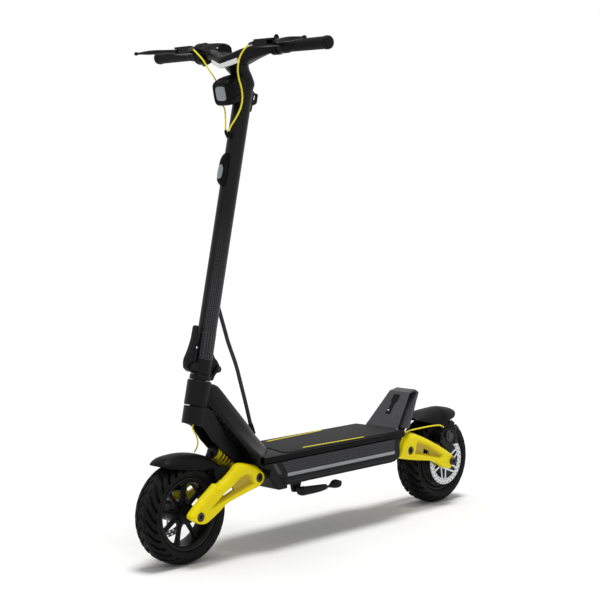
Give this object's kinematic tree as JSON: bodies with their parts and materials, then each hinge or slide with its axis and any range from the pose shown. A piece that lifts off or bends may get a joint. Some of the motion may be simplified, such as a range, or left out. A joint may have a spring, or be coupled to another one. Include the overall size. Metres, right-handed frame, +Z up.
{
  "type": "electric kick scooter",
  "caption": "Standing electric kick scooter with a folding raked stem, sprung swingarms at both ends, a rear hub motor, disc brakes and a flat deck with a kick plate.",
  "frame": {"origin": "on the ground, midway between the two axles, on the centre plane", "axes": "+X is forward, +Y is the rider's left, +Z is up"},
  "size_m": [1.2326, 0.6348, 1.3086],
  "materials": {
    "black_paint": "satin black powder coat",
    "black_plastic": "satin",
    "carbon_weave": "dark satin with a fine woven pattern",
    "cell_wrap": "shrink wrap",
    "copper": "laminations and copper winding",
    "dark_steel": "dark satin",
    "grey_strip": "satin translucent grey",
    "lens": "clear grey lens",
    "rubber": "matte",
    "steel": "brushed",
    "white_strip": "satin white",
    "yellow_jacket": "satin",
    "yellow_paint": "gloss yellow paint"
  },
  "bodies": {
    "frame": {"battery_pack": "cell_wrap", "deck_lid": "black_paint", "deck_mat": "rubber", "deck_tray": "carbon_weave", "footrest": "black_paint", "front_cap": "black_paint", "kickstand_bracket": "black_paint", "light_strip_left": "grey_strip", "light_strip_right": "grey_strip", "motor_controller": "steel", "neck_frame": "black_paint", "rear_brake_cable": "yellow_jacket", "rear_cap": "black_paint", "rear_pivot_bolt": "dark_steel"},
    "fork": {"fold_bracket": "black_paint", "fold_hinge_pin": "steel", "front_brake_cable": "yellow_jacket", "front_pivot_bolt": "dark_steel", "front_spring": "yellow_paint", "main_cable": "rubber", "steering_fork": "black_paint"},
    "stem": {"brake_cable_left": "yellow_jacket", "brake_cable_right": "yellow_jacket", "brake_perch_left": "black_paint", "brake_perch_right": "black_paint", "chevron_strip": "white_strip", "display_unit": "black_plastic", "grip_left": "rubber", "grip_right": "rubber", "handlebar": "black_paint", "headlight_housing": "black_plastic", "headlight_lens": "lens", "stem_base": "black_paint", "stem_hook": "black_paint", "stem_pod": "black_plastic", "stem_tube": "carbon_weave", "switch_box": "black_plastic"},
    "fold_handle": {"fold_lever": "black_paint"},
    "left_brake": {"brake_lever_left": "black_paint"},
    "right_brake": {"brake_lever_right": "black_paint"},
    "throttle": {"throttle_lever": "black_plastic"},
    "switch": {"switch_lever": "black_plastic"},
    "front_arm": {"front_axle": "dark_steel", "front_caliper": "black_paint", "front_fender": "black_plastic", "front_swingarm": "yellow_paint"},
    "front_wheel": {"front_disc": "steel", "front_rim": "black_paint", "front_tyre": "rubber"},
    "rear_arm": {"motor_stator": "copper", "rear_axle": "dark_steel", "rear_caliper": "black_paint", "rear_fender": "black_plastic", "rear_spring": "yellow_paint", "rear_swingarm": "yellow_paint"},
    "rear_wheel": {"motor_cover": "black_paint", "motor_shell": "black_paint", "rear_disc": "steel", "rear_tyre": "rubber"},
    "kickstand": {"kickstand_leg": "black_paint"}
  },
  "joints": [
    {"name": "steering", "type": "hinge", "parent": "frame", "child": "fork", "pos_m": [0.41942, 0, 0.45203], "axis": [-0.2215, 0, 0.9751], "range_deg": [-40, 40], "deforming": ["main_cable"]},
    {"name": "stem_fold", "type": "hinge", "parent": "fork", "child": "stem", "pos_m": [0.36492, 0, 0.47523], "axis": [0, -1, 0], "range_deg": [0, 88], "deforming": ["main_cable"]},
    {"name": "fold_lever_swing", "type": "hinge", "parent": "stem", "child": "fold_handle", "pos_m": [0.45331, 0, 0.49019], "axis": [0, 1, 0], "range_deg": [0, 75]},
    {"name": "left_brake_pull", "type": "hinge", "parent": "stem", "child": "left_brake", "pos_m": [0.318, 0.178, 1.284], "axis": [0, 0, 1], "range_deg": [0, 18], "stiffness_Nm_per_rad": 2, "springref_deg": -11.46},
    {"name": "right_brake_pull", "type": "hinge", "parent": "stem", "child": "right_brake", "pos_m": [0.318, -0.178, 1.284], "axis": [0, 0, -1], "range_deg": [0, 18], "stiffness_Nm_per_rad": 2, "springref_deg": -11.46},
    {"name": "throttle_push", "type": "hinge", "parent": "stem", "child": "throttle", "pos_m": [0.27, -0.144, 1.2766], "axis": [0, -1, 0], "range_deg": [0, 30], "stiffness_Nm_per_rad": 0.3, "springref_deg": -11.46},
    {"name": "switch_rock", "type": "hinge", "parent": "stem", "child": "switch", "pos_m": [0.272, 0.1372, 1.3011], "axis": [0, 1, 0], "range_deg": [-12, 12], "stiffness_Nm_per_rad": 0.1},
    {"name": "front_suspension", "type": "hinge", "parent": "fork", "child": "front_arm", "pos_m": [0.288, 0, 0.196], "axis": [0, -1, 0], "range_deg": [0, 7.5], "stiffness_Nm_per_rad": 320, "springref_deg": -8.59, "deforming": ["front_spring", "front_brake_cable"]},
    {"name": "front_wheel_spin", "type": "hinge", "parent": "front_arm", "child": "front_wheel", "pos_m": [0.48875, 0, 0.1275], "axis": [0, 1, 0], "continuous": true},
    {"name": "rear_suspension", "type": "hinge", "parent": "frame", "child": "rear_arm", "pos_m": [-0.304, 0, 0.184], "axis": [0, 1, 0], "range_deg": [0, 8], "stiffness_Nm_per_rad": 420, "springref_deg": -10.31, "deforming": ["rear_spring", "rear_brake_cable"]},
    {"name": "rear_wheel_spin", "type": "hinge", "parent": "rear_arm", "child": "rear_wheel", "pos_m": [-0.48875, 0, 0.1275], "axis": [0, 1, 0], "continuous": true},
    {"name": "kickstand_swing", "type": "hinge", "parent": "frame", "child": "kickstand", "pos_m": [0.134, 0.072, 0.1435], "axis": [0, -0.9397, -0.342], "range_deg": [0, 95], "stiffness_Nm_per_rad": 0.6, "springref_deg": -45.84}
  ]
}
